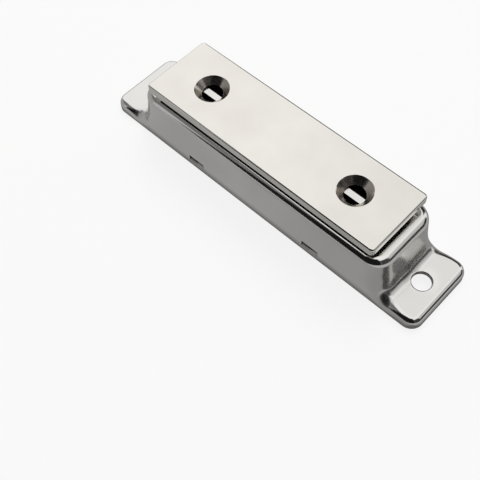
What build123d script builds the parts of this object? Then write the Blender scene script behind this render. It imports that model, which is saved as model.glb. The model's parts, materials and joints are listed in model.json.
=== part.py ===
from build123d import *
from math import cos, radians, sin, tan
import os

# A surface-mounted magnetic catch: a housing drawn from one stainless sheet, with a screw ear at
# each end, holds a pack of steel pole plates and ferrite magnets, and a loose strike plate for the
# door clings to the pole tips. Origin at the middle of the mounting face, X along the catch, Z up.

# ---- driving dimensions, mm ----

# Drawn housing
SHEET = 0.8
BASE_LENGTH = 86.0
BASE_WIDTH = 18.2
EAR_HEIGHT = 2.7
EAR_PLAN_RADIUS = 2.7
EAR_ROLL = 1.4
HOUSING_HEIGHT = 12.6
TOP_ROLL = 1.8
BLOCK_CORNER = 4.4
END_DRAFT = radians(8)
END_WALL_FOOT = 34.35  # half the block's length where its end walls would meet the ears
FLARE_RADIUS = 2.2  # concave draw radius from the end wall into the ear
ROLL_START = 3.2  # distance above the flare where the corner radius starts to shrink
ROLL_END = 3.2  # distance past the flare where it has become the ear's roll
RUN_OUT = 0.006  # how far the corner cutter stands proud where it leaves the skin
HOLLOW_CHAMFER = 0.586  # leg, over the roll's radius, of the chamfer that touches the roll

# Screw holes in the ears
EAR_HOLE_SPACING = 75.5
EAR_HOLE_DIAMETER = 4.1
EAR_HOLE_MOUTH = 0.35

# Lanced lugs low in the long sides
LUG_SPACING = 32.6
LUG_SLOT_LENGTH = 4.3
LUG_SLOT_BOTTOM = 1.3
LUG_SLOT_HEIGHT = 1.6
LUG_SIDE_GAP = 0.1
LUG_REACH = 1.7
LUG_LEAN = 0.85
LUG_TOP = 2.6

# Magnet pack
WINDOW_LENGTH = 58.4
WINDOW_WIDTH = 14.4
WINDOW_CORNER = 0.5
RETAINER_LENGTH = 61.6
RETAINER_WIDTH = 16.2
RETAINER_THICKNESS = 1.0
RETAINER_CORNER = 2.0
POLE_THICKNESS = 1.6
POLE_LENGTH = 61.0
POLE_NOSE_LENGTH = 57.8
POLE_NOSE_CORNER = 0.5
POLE_SHOULDER_Z = 11.6
MAGNET_LENGTH = 30.0
MAGNET_THICKNESS = 4.6
MAGNET_EDGE = 0.3

# Strike plate
STRIKE_LENGTH = 60.8
STRIKE_WIDTH = 17.2
STRIKE_THICKNESS = 1.9
STRIKE_Z = 14.3
STRIKE_CORNER = 0.9
STRIKE_EDGE = 0.5
STRIKE_HOLE_SPACING = 38.6
STRIKE_HOLE_DIAMETER = 4.6
STRIKE_SINK_DIAMETER = 7.5

# ---- worked-out places ----

FLARE_X = END_WALL_FOOT + FLARE_RADIUS * (1 / cos(END_DRAFT) - tan(END_DRAFT))
FLARE_Z = EAR_HEIGHT + FLARE_RADIUS
EAR_TIP_X = BASE_LENGTH / 2 - EAR_PLAN_RADIUS
RETAINER_TOP = LUG_TOP + RETAINER_THICKNESS
MAGNET_HEIGHT = POLE_SHOULDER_Z - RETAINER_TOP
OUTER_POLE_Y = POLE_THICKNESS + MAGNET_THICKNESS
MAGNET_Y = OUTER_POLE_Y / 2


def end_wall_x(height, inset):
    """Half length of the block's drafted end walls at a height, set in by a distance."""
    return END_WALL_FOOT - (height - EAR_HEIGHT) * tan(END_DRAFT) - inset / cos(END_DRAFT)


def on_flare(angle, radius):
    """Point of the flare's arc whose normal stands at an angle above the horizontal."""
    return (FLARE_X - radius * cos(angle), FLARE_Z - radius * sin(angle))


def side_profile(inset, floor):
    """Half of the form's outline seen from the long side, from its middle to the ear's tip."""
    radius = FLARE_RADIUS + inset
    ear = EAR_HEIGHT - inset
    top = HOUSING_HEIGHT - inset
    with BuildLine(Plane.XZ) as outline:
        Polyline((0, floor), (EAR_TIP_X, floor), (EAR_TIP_X, ear), (FLARE_X, ear))
        ThreePointArc((FLARE_X, ear), on_flare(radians(45), radius), on_flare(END_DRAFT, radius))
        Polyline(on_flare(END_DRAFT, radius), (end_wall_x(top, inset), top), (0, top), (0, floor))
    return outline


def corner_notch(place, direction, radius, proud):
    """Section of the waste outside a rounded corner, square to the corner's edge."""
    margin = 0.5
    near = -proud
    far = radius - proud
    middle = radius * (1 - cos(radians(45))) - proud
    with BuildSketch(Plane(origin=place, x_dir=(0, -1, 0), z_dir=direction)) as section:
        with BuildLine():
            Polyline((near, far), (-margin, far), (-margin, -margin), (far, -margin), (far, near))
            ThreePointArc((far, near), (middle, middle), (near, far))
        make_face()
    return section.sketch.face()


def corner_waste(inset):
    """Waste along one edge of a drawn end: a wide corner that shrinks to the ear's rolled edge."""
    margin = 1.0
    radius = FLARE_RADIUS + inset
    ear = EAR_HEIGHT - inset
    top = HOUSING_HEIGHT - inset + margin
    with BuildLine(Plane.XZ.offset(inset - BASE_WIDTH / 2)) as edge:
        wall = Line((end_wall_x(top, inset), top), on_flare(END_DRAFT, radius))
        flare = ThreePointArc(wall @ 1, on_flare(radians(45), radius), (FLARE_X, ear))
        Line(flare @ 1, (EAR_TIP_X, ear))
    path = edge.wire()
    shrink_from = wall.length - ROLL_START
    shrink_to = wall.length + flare.length + ROLL_END
    steps = 8

    def station(distance):
        along = min(max((distance - shrink_from) / (shrink_to - shrink_from), 0), 1)
        corner = BLOCK_CORNER + (EAR_ROLL - BLOCK_CORNER) * along**2 * (3 - 2 * along)
        proud = RUN_OUT * sin(radians(180 * along))
        share = distance / path.length
        return corner_notch(path @ share, path % share, corner - inset, proud)

    wide = [station(0), station(shrink_from)]
    shrinking = [station(shrink_from + (shrink_to - shrink_from) * k / steps) for k in range(steps + 1)]
    narrow = [station(shrink_to), station(path.length)]
    with BuildPart() as waste:
        loft(wide, ruled=True)
        loft(shrinking)
        loft(narrow, ruled=True)
    return waste


def roll_over(rim, radius, inset):
    """Round the rim of the skin; inside the hollow a chamfer that touches the same roll does."""
    if inset:
        chamfer(rim, HOLLOW_CHAMFER * (radius - inset))
    else:
        fillet(rim, radius)


def ear_tip(inset, floor):
    """The free end of the right-hand ear: rounded in plan, with its top edge rolled over."""
    with BuildPart() as tip:
        with BuildSketch(Plane.XY.offset(floor)):
            RectangleRounded(
                BASE_LENGTH - 2 * inset, BASE_WIDTH - 2 * inset, EAR_PLAN_RADIUS - inset
            )
        extrude(amount=EAR_HEIGHT - inset - floor)
        roll_over(tip.faces().sort_by(Axis.Z)[-1].edges(), EAR_ROLL, inset)
        split(bisect_by=Plane.YZ.offset(EAR_TIP_X), keep=Keep.TOP)
    return tip


def drawn_form(inset, floor):
    """The solid form of the drawn housing, its skin set in by a distance."""
    outline = side_profile(inset, floor)
    waste = corner_waste(inset)
    tip = ear_tip(inset, floor)
    with BuildPart() as half:
        with BuildSketch(Plane.XZ):
            add(outline.line)
            make_face()
        extrude(amount=BASE_WIDTH / 2 - inset, both=True)
        add(waste.part, mode=Mode.SUBTRACT)
        mirror(waste.part, about=Plane.XZ, mode=Mode.SUBTRACT)
        add(tip.part)
    with BuildPart() as form:
        add(half.part)
        mirror(half.part, about=Plane.YZ)
        roll_over(form.faces().sort_by(Axis.Z)[-1].edges(), TOP_ROLL, inset)
    return form


def screw_hole():
    """Waste of one ear hole, whose upper rim is broken where the punch went in."""
    radius = EAR_HOLE_DIAMETER / 2
    rim = EAR_HEIGHT - EAR_HOLE_MOUTH
    margin = 1.0
    with BuildPart() as waste:
        with BuildSketch(Plane.XZ):
            with BuildLine():
                bore = Line((radius, -margin), (radius, rim))
                mouth = Line(bore @ 1, (radius + EAR_HOLE_MOUTH, EAR_HEIGHT))
                Polyline(mouth @ 1, (radius + EAR_HOLE_MOUTH, EAR_HEIGHT + margin))
                Polyline((radius + EAR_HOLE_MOUTH, EAR_HEIGHT + margin), (0, EAR_HEIGHT + margin))
                Polyline((0, EAR_HEIGHT + margin), (0, -margin), bore @ 0)
            make_face()
        revolve(axis=Axis.Z)
    return waste


def lug():
    """One lug, lanced from the far long side and bent inwards about the bottom of its slot."""
    outer = BASE_WIDTH / 2
    inner = outer - SHEET
    tip = outer - LUG_REACH
    root = LUG_SLOT_BOTTOM - SHEET / 2
    with BuildPart() as tab:
        with BuildSketch(Plane.YZ):
            with BuildLine():
                Polyline((outer, root), (outer, LUG_SLOT_BOTTOM), (outer - LUG_LEAN, LUG_TOP))
                Polyline((outer - LUG_LEAN, LUG_TOP), (tip, LUG_TOP), (inner, root), (outer, root))
            make_face()
        extrude(amount=LUG_SLOT_LENGTH / 2 - LUG_SIDE_GAP, both=True)
    return tab


def make_housing():
    """The drawn stainless housing, open underneath, with the window that the poles show through."""
    skin = drawn_form(0, 0)
    hollow = drawn_form(SHEET, -SHEET)
    hole = screw_hole()
    far_lug = lug()
    near_lug = mirror(far_lug.part, about=Plane.XZ)
    with BuildPart() as housing:
        add(skin.part)
        add(hollow.part, mode=Mode.SUBTRACT)
        with BuildSketch(Plane.XY.offset(HOUSING_HEIGHT)):
            RectangleRounded(WINDOW_LENGTH, WINDOW_WIDTH, WINDOW_CORNER)
        extrude(amount=-2 * SHEET, mode=Mode.SUBTRACT)
        with Locations((EAR_HOLE_SPACING / 2, 0), (-EAR_HOLE_SPACING / 2, 0)):
            add(hole.part, mode=Mode.SUBTRACT)
        with BuildSketch(Plane.XZ):
            with Locations((0, LUG_SLOT_BOTTOM + LUG_SLOT_HEIGHT / 2)):
                with GridLocations(LUG_SPACING, 0, 2, 1):
                    Rectangle(LUG_SLOT_LENGTH, LUG_SLOT_HEIGHT)
        extrude(amount=BASE_WIDTH, both=True, mode=Mode.SUBTRACT)
        with GridLocations(LUG_SPACING, 0, 2, 1):
            add(far_lug.part)
            add(near_lug)
    return housing


def make_retainer():
    """The insulating plate that rests on the lugs and keeps the pack up against the window."""
    with BuildPart() as retainer:
        with BuildSketch(Plane.XY.offset(LUG_TOP)):
            RectangleRounded(RETAINER_LENGTH, RETAINER_WIDTH, RETAINER_CORNER)
        extrude(amount=RETAINER_THICKNESS)
    return retainer


def make_pole(centre_y):
    """A plated steel pole plate: shoulders under the window's lip and a nose that stands through it."""
    with BuildPart() as pole:
        with BuildSketch(Plane.XZ.offset(-centre_y)):
            with Locations((0, RETAINER_TOP)):
                Rectangle(POLE_LENGTH, MAGNET_HEIGHT, align=(Align.CENTER, Align.MIN))
                Rectangle(POLE_NOSE_LENGTH, STRIKE_Z - RETAINER_TOP, align=(Align.CENTER, Align.MIN))
        extrude(amount=POLE_THICKNESS / 2, both=True)
        nose_corners = pole.edges().filter_by(Axis.Y).group_by(Axis.Z)[-1]
        fillet(nose_corners, POLE_NOSE_CORNER)
    return pole


def make_magnet(centre_x, centre_y):
    """A ferrite block with ground pole faces and small moulded chamfers on its upright edges."""
    with BuildPart() as magnet:
        with BuildSketch(Plane.XY.offset(RETAINER_TOP)):
            with Locations((centre_x, centre_y)):
                Rectangle(MAGNET_LENGTH, MAGNET_THICKNESS)
        extrude(amount=MAGNET_HEIGHT)
        chamfer(magnet.edges().filter_by(Axis.Z), MAGNET_EDGE)
    return magnet


def make_strike():
    """The strike plate: flat steel with its upper edge tumbled and two countersunk screw holes."""
    with BuildPart() as strike:
        with BuildSketch(Plane.XY.offset(STRIKE_Z)):
            RectangleRounded(STRIKE_LENGTH, STRIKE_WIDTH, STRIKE_CORNER)
        extrude(amount=STRIKE_THICKNESS)
        fillet(strike.faces().sort_by(Axis.Z)[-1].edges(), STRIKE_EDGE)
        with Locations(Plane.XY.offset(STRIKE_Z + STRIKE_THICKNESS)):
            with GridLocations(STRIKE_HOLE_SPACING, 0, 2, 1):
                CounterSinkHole(STRIKE_HOLE_DIAMETER / 2, STRIKE_SINK_DIAMETER / 2, counter_sink_angle=90)
    return strike


def save(piece, name):
    """Label one finished piece and write it to its own file."""
    piece.part.label = name
    export_step(piece.part, f"parts/{name}.step")


os.makedirs("parts", exist_ok=True)
save(make_housing(), "housing")
save(make_retainer(), "retaining_plate")
save(make_strike(), "strike_plate")
for side, centre_y in (("near", -OUTER_POLE_Y), ("centre", 0), ("far", OUTER_POLE_Y)):
    save(make_pole(centre_y), f"pole_plate_{side}")
for side, centre_y in (("near", -MAGNET_Y), ("far", MAGNET_Y)):
    for end, centre_x in (("left", -MAGNET_LENGTH / 2), ("right", MAGNET_LENGTH / 2)):
        save(make_magnet(centre_x, centre_y), f"magnet_{side}_{end}")
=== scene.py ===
"""Looks of a surface-mounted magnetic catch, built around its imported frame.

The catch is a housing drawn from one stainless sheet, a pack of pole plates and ferrite magnets
inside it, and a loose strike plate that clings to the pole tips. Sizes inside the classes are in
millimetres; meshes are written in metres, in the frame's own axes: X along the catch, Z up.
"""

from __future__ import annotations

import json
import logging
import math
from dataclasses import dataclass, field
from enum import IntEnum
from typing import Any, Callable, Sequence

import bmesh
import bpy
import numpy as np
from mathutils import Matrix, Vector
from mathutils.geometry import delaunay_2d_cdt, tessellate_polygon


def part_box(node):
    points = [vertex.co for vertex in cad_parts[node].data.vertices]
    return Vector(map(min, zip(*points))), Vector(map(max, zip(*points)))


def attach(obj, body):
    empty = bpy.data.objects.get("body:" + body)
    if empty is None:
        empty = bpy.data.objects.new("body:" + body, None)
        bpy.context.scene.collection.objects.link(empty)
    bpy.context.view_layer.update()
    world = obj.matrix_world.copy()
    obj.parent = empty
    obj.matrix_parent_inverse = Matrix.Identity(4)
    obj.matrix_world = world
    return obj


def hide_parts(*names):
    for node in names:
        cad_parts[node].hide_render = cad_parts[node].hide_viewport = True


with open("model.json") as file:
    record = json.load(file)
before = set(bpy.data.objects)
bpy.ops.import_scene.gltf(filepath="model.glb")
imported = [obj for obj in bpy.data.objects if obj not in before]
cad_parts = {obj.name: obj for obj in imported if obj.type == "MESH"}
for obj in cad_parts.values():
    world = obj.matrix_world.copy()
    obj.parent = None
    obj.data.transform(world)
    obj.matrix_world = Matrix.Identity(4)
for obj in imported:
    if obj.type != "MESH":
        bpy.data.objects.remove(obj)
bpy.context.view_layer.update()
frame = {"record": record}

LOG = logging.getLogger("magnetic_catch")
MM = 0.001
UP = np.array((0.0, 0.0, 1.0))
Array = np.ndarray
Socket = bpy.types.NodeSocket

MATH, VECTOR_MATH = "ShaderNodeMath", "ShaderNodeVectorMath"
SEPARATE, COMBINE = "ShaderNodeSeparateXYZ", "ShaderNodeCombineXYZ"
MIX, MAP_RANGE, BUMP = "ShaderNodeMix", "ShaderNodeMapRange", "ShaderNodeBump"
SMOOTH = {"interpolation_type": "SMOOTHSTEP"}
NOISE_SPAN = (0.25, 0.75)  # levels between which most of a noise lies


# ---- Small helpers ----


def linear(code: str) -> tuple[float, float, float, float]:
    """Turn an sRGB hex colour into the linear values that shaders take.

    Args:
        code: colour such as "#d8d4cc".

    Returns:
        Red, green, blue and full opacity.
    """
    parts = [int(code[i : i + 2], 16) / 255 for i in (1, 3, 5)]
    red, green, blue = (c / 12.92 if c <= 0.04045 else ((c + 0.055) / 1.055) ** 2.4 for c in parts)
    return red, green, blue, 1.0


def turns(start: float, end: float, steps: int) -> Array:
    """Evenly spaced angles in radians, from two angles in degrees."""
    return np.radians(np.linspace(start, end, steps + 1))


def node_sizes(node: str) -> tuple[Array, Array]:
    """Lowest and highest corner of a frame node, in millimetres."""
    low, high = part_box(node)
    return np.array(low) / MM, np.array(high) / MM


def mount_dims(name: str) -> dict[str, float]:
    """Dimensions that the record states for one mount."""
    return next(m["dims"] for m in frame["record"]["mounts"] if m["name"] == name)


def in_scene(name: str, data: Any) -> bpy.types.Object:
    """New object in the scene, at the origin."""
    made = bpy.data.objects.new(name, data)
    bpy.context.scene.collection.objects.link(made)
    return made


class Wiring:
    """A node tree under construction."""

    def __init__(self, owner: Any) -> None:
        """Take a node group, or open and empty the tree of a new material or world."""
        if not isinstance(owner, bpy.types.NodeTree):
            owner.use_nodes = True
            owner = owner.node_tree
            owner.nodes.clear()
        self.tree = owner

    def add(
        self,
        kind: str,
        *values: Any,
        output: int | str = 0,
        named: dict[int | str, Any] | None = None,
        **settings: Any,
    ) -> Socket:
        """Add one node, with its settings, values and links.

        Args:
            kind: node type, such as "ShaderNodeMath".
            values: for the first inputs in their order: a value, a socket or a list of sockets.
            output: name or number of the output to give back.
            named: the same for other inputs, by name or number.
            settings: attributes to set on the node.

        Returns:
            The chosen output, or None where the node has none.
        """
        node = self.tree.nodes.new(kind)
        for name, value in settings.items():
            setattr(node, name, value)
        for key, given in {**dict(enumerate(values)), **(named or {})}.items():
            for value in given if isinstance(given, list) else [given]:
                if isinstance(value, Socket):
                    self.tree.links.new(value, node.inputs[key])
                else:
                    node.inputs[key].default_value = value
        return node.outputs[output] if node.outputs else None


def clouds(wires: Wiring, place: Socket, per_mm: tuple[float, ...], detail: float) -> Socket:
    """Noise on a piece's own coordinates.

    Args:
        wires: tree under construction.
        place: coordinates in metres.
        per_mm: features in a millimetre, along each axis.
        detail: octaves of the noise.

    Returns:
        The noise's factor.
    """
    scale = {"Scale": tuple(s / MM for s in per_mm)}
    scaled = wires.add("ShaderNodeMapping", place, named=scale)
    return wires.add("ShaderNodeTexNoise", scaled, named={"Scale": 1.0, "Detail": detail})


def off_middle(wires: Wiring, place: Socket) -> Socket:
    """Distance along a piece from its middle, in metres."""
    return wires.add(MATH, wires.add(SEPARATE, place), operation="ABSOLUTE")


# ---- Mesh drafting ----


@dataclass
class Draft:
    """Faces of one piece under construction, with the true normal at each of their corners.

    Attributes:
        places: each face's corner places, mm.
        normals: their unit normals.
        slots: each face's material slot.
        weld: corners closer than this are one, mm.
    """

    places: list[Array] = field(default_factory=list)
    normals: list[Array] = field(default_factory=list)
    slots: list[int] = field(default_factory=list)
    weld: float = 1e-4

    def add(self, places: Array, normals: Array, slot: int = 0) -> None:
        """Add faces that have the same number of corners.

        Args:
            places: corner places, shaped (faces, corners, 3), in millimetres.
            normals: unit normals of the same shape, pointing out of the material.
            slot: material slot of the faces.
        """
        self.places.extend(places)
        self.normals.extend(normals)
        self.slots.extend([int(slot)] * len(places))

    def grid(self, places: Any, normals: Any, slot: int = 0) -> None:
        """Add a patch of quads.

        Args:
            places: shaped (rows, columns, 3), in millimetres.
            normals: unit normals of the same shape.
            slot: material slot of the faces.
        """
        corners = [np.s_[:-1, :-1], np.s_[1:, :-1], np.s_[1:, 1:], np.s_[:-1, 1:]]
        both = np.array(places), np.array(normals)
        quads = [np.stack([a[c].reshape(-1, 3) for c in corners], axis=1) for a in both]
        self.add(quads[0], quads[1], slot)

    def flat(self, loops: Sequence[Array], normal: Array, slot: int = 0) -> None:
        """Fill a flat region.

        Args:
            loops: outer boundary first, then its holes, each shaped (points, 3).
            normal: unit normal of the region.
            slot: material slot of the faces.
        """
        points = np.concatenate(loops)
        triangles = tessellate_polygon([[Vector(p) for p in loop] for loop in loops])
        corners = points[np.array(triangles)]
        self.add(corners, np.broadcast_to(normal, corners.shape), slot)

    def mirror(self, axis: int) -> None:
        """Add a mirror image of every face.

        Args:
            axis: axis that the mirror's plane is square to.
        """
        flip = np.ones(3)
        flip[axis] = -1
        self.places.extend([p * flip for p in self.places])
        self.normals.extend([n * flip for n in self.normals])
        self.slots.extend(self.slots)

    def build(self, name: str, materials: Sequence[bpy.types.Material]) -> bpy.types.Object:
        """Weld the faces into one mesh object in the scene.

        Args:
            name: name of the piece.
            materials: one for each slot.

        Returns:
            The object, at the origin, with its place in its mesh.
        """
        corners, normals = np.concatenate(self.places), np.concatenate(self.normals)
        keys = np.round(corners / self.weld).astype(np.int64)
        _, first, index = np.unique(keys, axis=0, return_index=True, return_inverse=True)
        index = index.reshape(-1)
        faces, loop_normals, slots = [], [], []
        start = 0
        for places, slot in zip(self.places, self.slots):
            span = range(start, start + len(places))
            start += len(places)
            keep = [k for n, k in enumerate(span) if index[k] != index[span[n - 1]]]
            if len({index[k] for k in keep}) < 3:
                continue
            around = corners[keep]
            middle = around.mean(axis=0)
            area = np.cross(around - middle, np.roll(around, -1, axis=0) - middle).sum(axis=0)
            if area @ normals[keep].sum(axis=0) < 0:
                keep.reverse()
            faces.append([int(index[k]) for k in keep])
            loop_normals.extend(normals[keep])
            slots.append(slot)
        mesh = bpy.data.meshes.new(name)
        mesh.from_pydata((corners[first] * MM).tolist(), [], faces)
        mesh.polygons.foreach_set("material_index", slots)
        mesh.polygons.foreach_set("use_smooth", [True] * len(faces))
        for material in materials:
            mesh.materials.append(material)
        mesh.normals_split_custom_set(np.array(loop_normals).tolist())
        mesh.update()
        return in_scene(name, mesh)


# ---- Finishes ----


@dataclass(frozen=True)
class Metal:
    """A bare or plated metal with the fine relief that its making leaves.

    Attributes:
        name: material's name.
        colour: reflected colour.
        stain: second colour, seen in soft clouds.
        stain_size: width of a cloud, mm.
        roughness: mean roughness.
        spread: how far the roughness wanders.
        grain: spacing of the finishing lines, mm.
        grain_length: length of a finishing line, mm.
        grain_depth: height of the lines, mm.
        ripple: width of the slow waves left in the surface, mm.
        ripple_depth: height of the waves, mm.
        dull_clouds: how many times finer the roughness wanders than the stain.
    """

    name: str
    colour: str
    stain: str
    stain_size: float
    roughness: float
    spread: float
    grain: float
    grain_length: float
    grain_depth: float
    ripple: float
    ripple_depth: float
    dull_clouds: float = 2.3

    def material(self) -> bpy.types.Material:
        """Build the material.

        Returns:
            The finished material.
        """
        made = bpy.data.materials.new(self.name)
        wires = Wiring(made)
        place = wires.add("ShaderNodeTexCoord", output="Object")
        waves = clouds(wires, place, (1 / self.ripple,) * 3, detail=1.0)
        slow = {"Height": waves, "Distance": self.wave_height(wires, place)}
        fine = {
            "Height": self.lines(wires, place),
            "Distance": self.grain_depth * MM,
            "Normal": wires.add(BUMP, named=slow),
        }
        surface = {
            "Base Color": self.tint(wires, place),
            "Metallic": 1.0,
            "Roughness": self.dullness(wires, place),
            "Normal": wires.add(BUMP, named=fine),
        }
        shader = wires.add("ShaderNodeBsdfPrincipled", named=surface)
        wires.add("ShaderNodeOutputMaterial", shader)
        return made

    def tint(self, wires: Wiring, place: Socket) -> Socket:
        """Colour over the piece, clouded softly by the stain."""
        pair = {6: linear(self.colour), 7: linear(self.stain)}
        share = clouds(wires, place, (1 / self.stain_size,) * 3, detail=3.0)
        return wires.add(MIX, share, named=pair, output=2, data_type="RGBA")

    def dullness(self, wires: Wiring, place: Socket) -> Socket:
        """Roughness over the piece, wandering round its mean."""
        wander = clouds(wires, place, (self.dull_clouds / self.stain_size,) * 3, detail=4.0)
        low, high = self.roughness - self.spread, self.roughness + self.spread
        return wires.add(MAP_RANGE, wander, *NOISE_SPAN, low, high, **SMOOTH)

    def wave_height(self, wires: Wiring, place: Socket) -> Any:
        """Height of the slow waves, in metres."""
        return self.ripple_depth * MM

    def lines(self, wires: Wiring, place: Socket) -> Socket:
        """Relief of the finishing lines, which run along the piece."""
        across = 1 / self.grain
        return clouds(wires, place, (1 / self.grain_length, across, across), detail=2.0)


@dataclass(frozen=True)
class DrawnSheet(Metal):
    """Polished sheet whose drawn ends are duller and wavier than its flat sides.

    Attributes:
        ends: distances from the middle between which the drawn zone comes in and goes out, mm.
        end_roughness: roughness added in the drawn zone.
        end_waves: height of the waves there, mm.
    """

    ends: tuple[float, float, float, float] = (31.0, 34.0, 36.2, 37.6)
    end_roughness: float = 0.16
    end_waves: float = 0.08

    def drawn(self, wires: Wiring, place: Socket, low: float, high: float) -> Socket:
        """Value that differs between the flat sides and the drawn ends.

        Args:
            wires: tree under construction.
            place: coordinates in metres.
            low: value on the flat sides.
            high: value in the drawn ends.

        Returns:
            The value over the piece.
        """
        away = off_middle(wires, place)
        start, full, last, over = (edge * MM for edge in self.ends)
        inner = wires.add(MAP_RANGE, away, start, full, low, high, **SMOOTH)
        outer = wires.add(MAP_RANGE, away, last, over, high, low, **SMOOTH)
        return wires.add(MATH, inner, outer, operation="MINIMUM")

    def dullness(self, wires: Wiring, place: Socket) -> Socket:
        """Roughness over the piece, higher in the drawn ends."""
        more = self.drawn(wires, place, 0.0, self.end_roughness)
        return wires.add(MATH, super().dullness(wires, place), more, operation="ADD")

    def wave_height(self, wires: Wiring, place: Socket) -> Any:
        """Height of the slow waves, in metres, higher in the drawn ends."""
        return self.drawn(wires, place, self.ripple_depth * MM, self.end_waves * MM)


@dataclass(frozen=True)
class BandedMetal(Metal):
    """Metal painted dark over its middle as painted shade, and left plated at its ends.

    Attributes:
        band: distance from the middle at which the painted shade ends, mm.
        border: width of the border between them, mm.
        bare: colour of the plated ends.
        bare_roughness: roughness there.
    """

    band: float = 28.4
    border: float = 0.4
    bare: str = "#f4f1ec"
    bare_roughness: float = 0.13

    def past_band(self, wires: Wiring, place: Socket) -> Socket:
        """One past the end of the painted shade, nought on it."""
        ends = self.band * MM, (self.band + self.border) * MM
        return wires.add(MAP_RANGE, off_middle(wires, place), *ends, 0.0, 1.0, **SMOOTH)

    def tint(self, wires: Wiring, place: Socket) -> Socket:
        """Colour over the piece: painted dark as shade in the middle, plated at the ends."""
        pair = {6: super().tint(wires, place), 7: linear(self.bare)}
        return wires.add(MIX, self.past_band(wires, place), named=pair, output=2, data_type="RGBA")

    def dullness(self, wires: Wiring, place: Socket) -> Socket:
        """Roughness over the piece: that of the painted shade in the middle, plated at the ends."""
        pair = {"A": super().dullness(wires, place), "B": self.bare_roughness}
        return wires.add(MIX, self.past_band(wires, place), named=pair, data_type="FLOAT")


@dataclass(frozen=True)
class TurnedMetal(Metal):
    """Metal cut by a turning tool, with rings round each of the plate's two holes.

    Attributes:
        hole_x: distance of the holes from the middle, mm.
    """

    hole_x: float = 19.3

    def lines(self, wires: Wiring, place: Socket) -> Socket:
        """Relief of the rings left by the tool.

        Args:
            wires: tree under construction.
            place: coordinates in metres.

        Returns:
            The rings' height, from nought to one.
        """
        off = wires.add(MATH, off_middle(wires, place), self.hole_x * MM, operation="SUBTRACT")
        flat = wires.add(COMBINE, off, wires.add(SEPARATE, place, output=1))
        radius = wires.add(VECTOR_MATH, flat, output="Value", operation="LENGTH")
        rings = {"W": radius, "Scale": 1 / (self.grain * MM), "Detail": 2.0}
        return wires.add("ShaderNodeTexNoise", named=rings, noise_dimensions="1D")


# Austenitic sheet, bright-rolled, drawn and barrel polished: a clear, faintly wavy mirror.
DRAWN_STAINLESS = DrawnSheet(
    "drawn_polished_stainless", colour="#eae8e5", stain="#e1dfdc", stain_size=9.0,
    roughness=0.1, spread=0.02, grain=0.35, grain_length=9.0, grain_depth=0.0004,
    ripple=3.2, ripple_depth=0.004,
)

# Sheared edge of the same sheet: duller, with the punch's fine upright scores.
SHEARED_STAINLESS = Metal(
    "sheared_stainless_edge", colour="#b9b6b1", stain="#a5a29d", stain_size=1.4,
    roughness=0.32, spread=0.05, grain=0.3, grain_length=0.8, grain_depth=0.004,
    ripple=1.2, ripple_depth=0.004,
)

# Mild steel plate, tumbled and satin nickel plated: warm, soft sheen with a faint bloom.
SATIN_NICKEL = Metal(
    "satin_nickel_plate", colour="#f4f1ec", stain="#dfdbd2", stain_size=11.0,
    roughness=0.13, spread=0.03, grain=0.3, grain_length=0.5, grain_depth=0.0006,
    ripple=2.5, ripple_depth=0.002,
)

# Countersink turned in the same plate, plated after: fine rings, darker than the flats.
TURNED_SINK = TurnedMetal(
    "turned_countersink", colour="#d2ccc4", stain="#b0a79d", stain_size=1.6,
    roughness=0.24, spread=0.06, grain=0.3, grain_length=0.5, grain_depth=0.007,
    ripple=2.5, ripple_depth=0.01,
)

# Underside and lower edge of the strike, where it meets the poles: painted dark over the middle as
# the shade under the plate, with the plated colour at its ends.
UNDERSIDE_SHADE = BandedMetal(
    "strike_underside_painted_shade", colour="#24201d", stain="#151211", stain_size=4.0,
    roughness=0.42, spread=0.08, grain=0.2, grain_length=5.0, grain_depth=0.002,
    ripple=3.0, ripple_depth=0.003,
)

# Tip of a pole plate, ground flush and nickel plated: bright, with grinding lines along it.
GROUND_TIP = Metal(
    "ground_pole_tip", colour="#efedea", stain="#dedbd6", stain_size=3.0,
    roughness=0.16, spread=0.04, grain=0.12, grain_length=5.0, grain_depth=0.001,
    ripple=2.0, ripple_depth=0.002,
)

# Flanks of the pole plates: painted deep warm black as the shade that swallows the gap between them
# and under the strike.
POLE_FLANK_SHADE = Metal(
    "pole_flank_painted_shade", colour="#2a2522", stain="#171412", stain_size=1.5,
    roughness=0.5, spread=0.08, grain=0.2, grain_length=4.0, grain_depth=0.003,
    ripple=1.0, ripple_depth=0.004,
)

# Skin of the lanced lug, wiped smooth by the tool: a satin tab without lines or waves, its colour
# painted paler than the sheet around it as a painted highlight.
LUG_SKIN_HIGHLIGHT = Metal(
    "lug_skin_painted_highlight", colour="#faf9f7", stain="#f1efec", stain_size=1.2,
    roughness=0.35, spread=0.04, grain=0.15, grain_length=1.5, grain_depth=0.0,
    ripple=1.2, ripple_depth=0.0,
)


@dataclass(frozen=True)
class Dielectric:
    """A solid that isn't metal: sintered ferrite, moulded plastic or a painted floor.

    Attributes:
        name: material's name.
        colour: body colour.
        speck: colour of the specks.
        speck_size: width of a speck, mm.
        roughness: surface roughness.
        relief: height of the surface's texture, mm.
    """

    name: str
    colour: str
    speck: str
    speck_size: float
    roughness: float
    relief: float

    def material(self) -> bpy.types.Material:
        """Build the material.

        Returns:
            The finished material.
        """
        made = bpy.data.materials.new(self.name)
        wires = Wiring(made)
        wires.add("ShaderNodeOutputMaterial", self.surface(wires))
        return made

    def surface(self, wires: Wiring) -> Socket:
        """Shader of the surface, with its specks and relief.

        Args:
            wires: tree under construction.

        Returns:
            The shader.
        """
        place = wires.add("ShaderNodeTexCoord", output="Object")
        specks = clouds(wires, place, (1 / self.speck_size,) * 3, detail=4.0)
        pair = {6: linear(self.colour), 7: linear(self.speck)}
        texture = {"Height": specks, "Distance": self.relief * MM}
        surface = {
            "Base Color": wires.add(MIX, specks, named=pair, output=2, data_type="RGBA"),
            "Roughness": self.roughness,
            "Normal": wires.add(BUMP, named=texture),
        }
        return wires.add("ShaderNodeBsdfPrincipled", named=surface)


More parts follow.
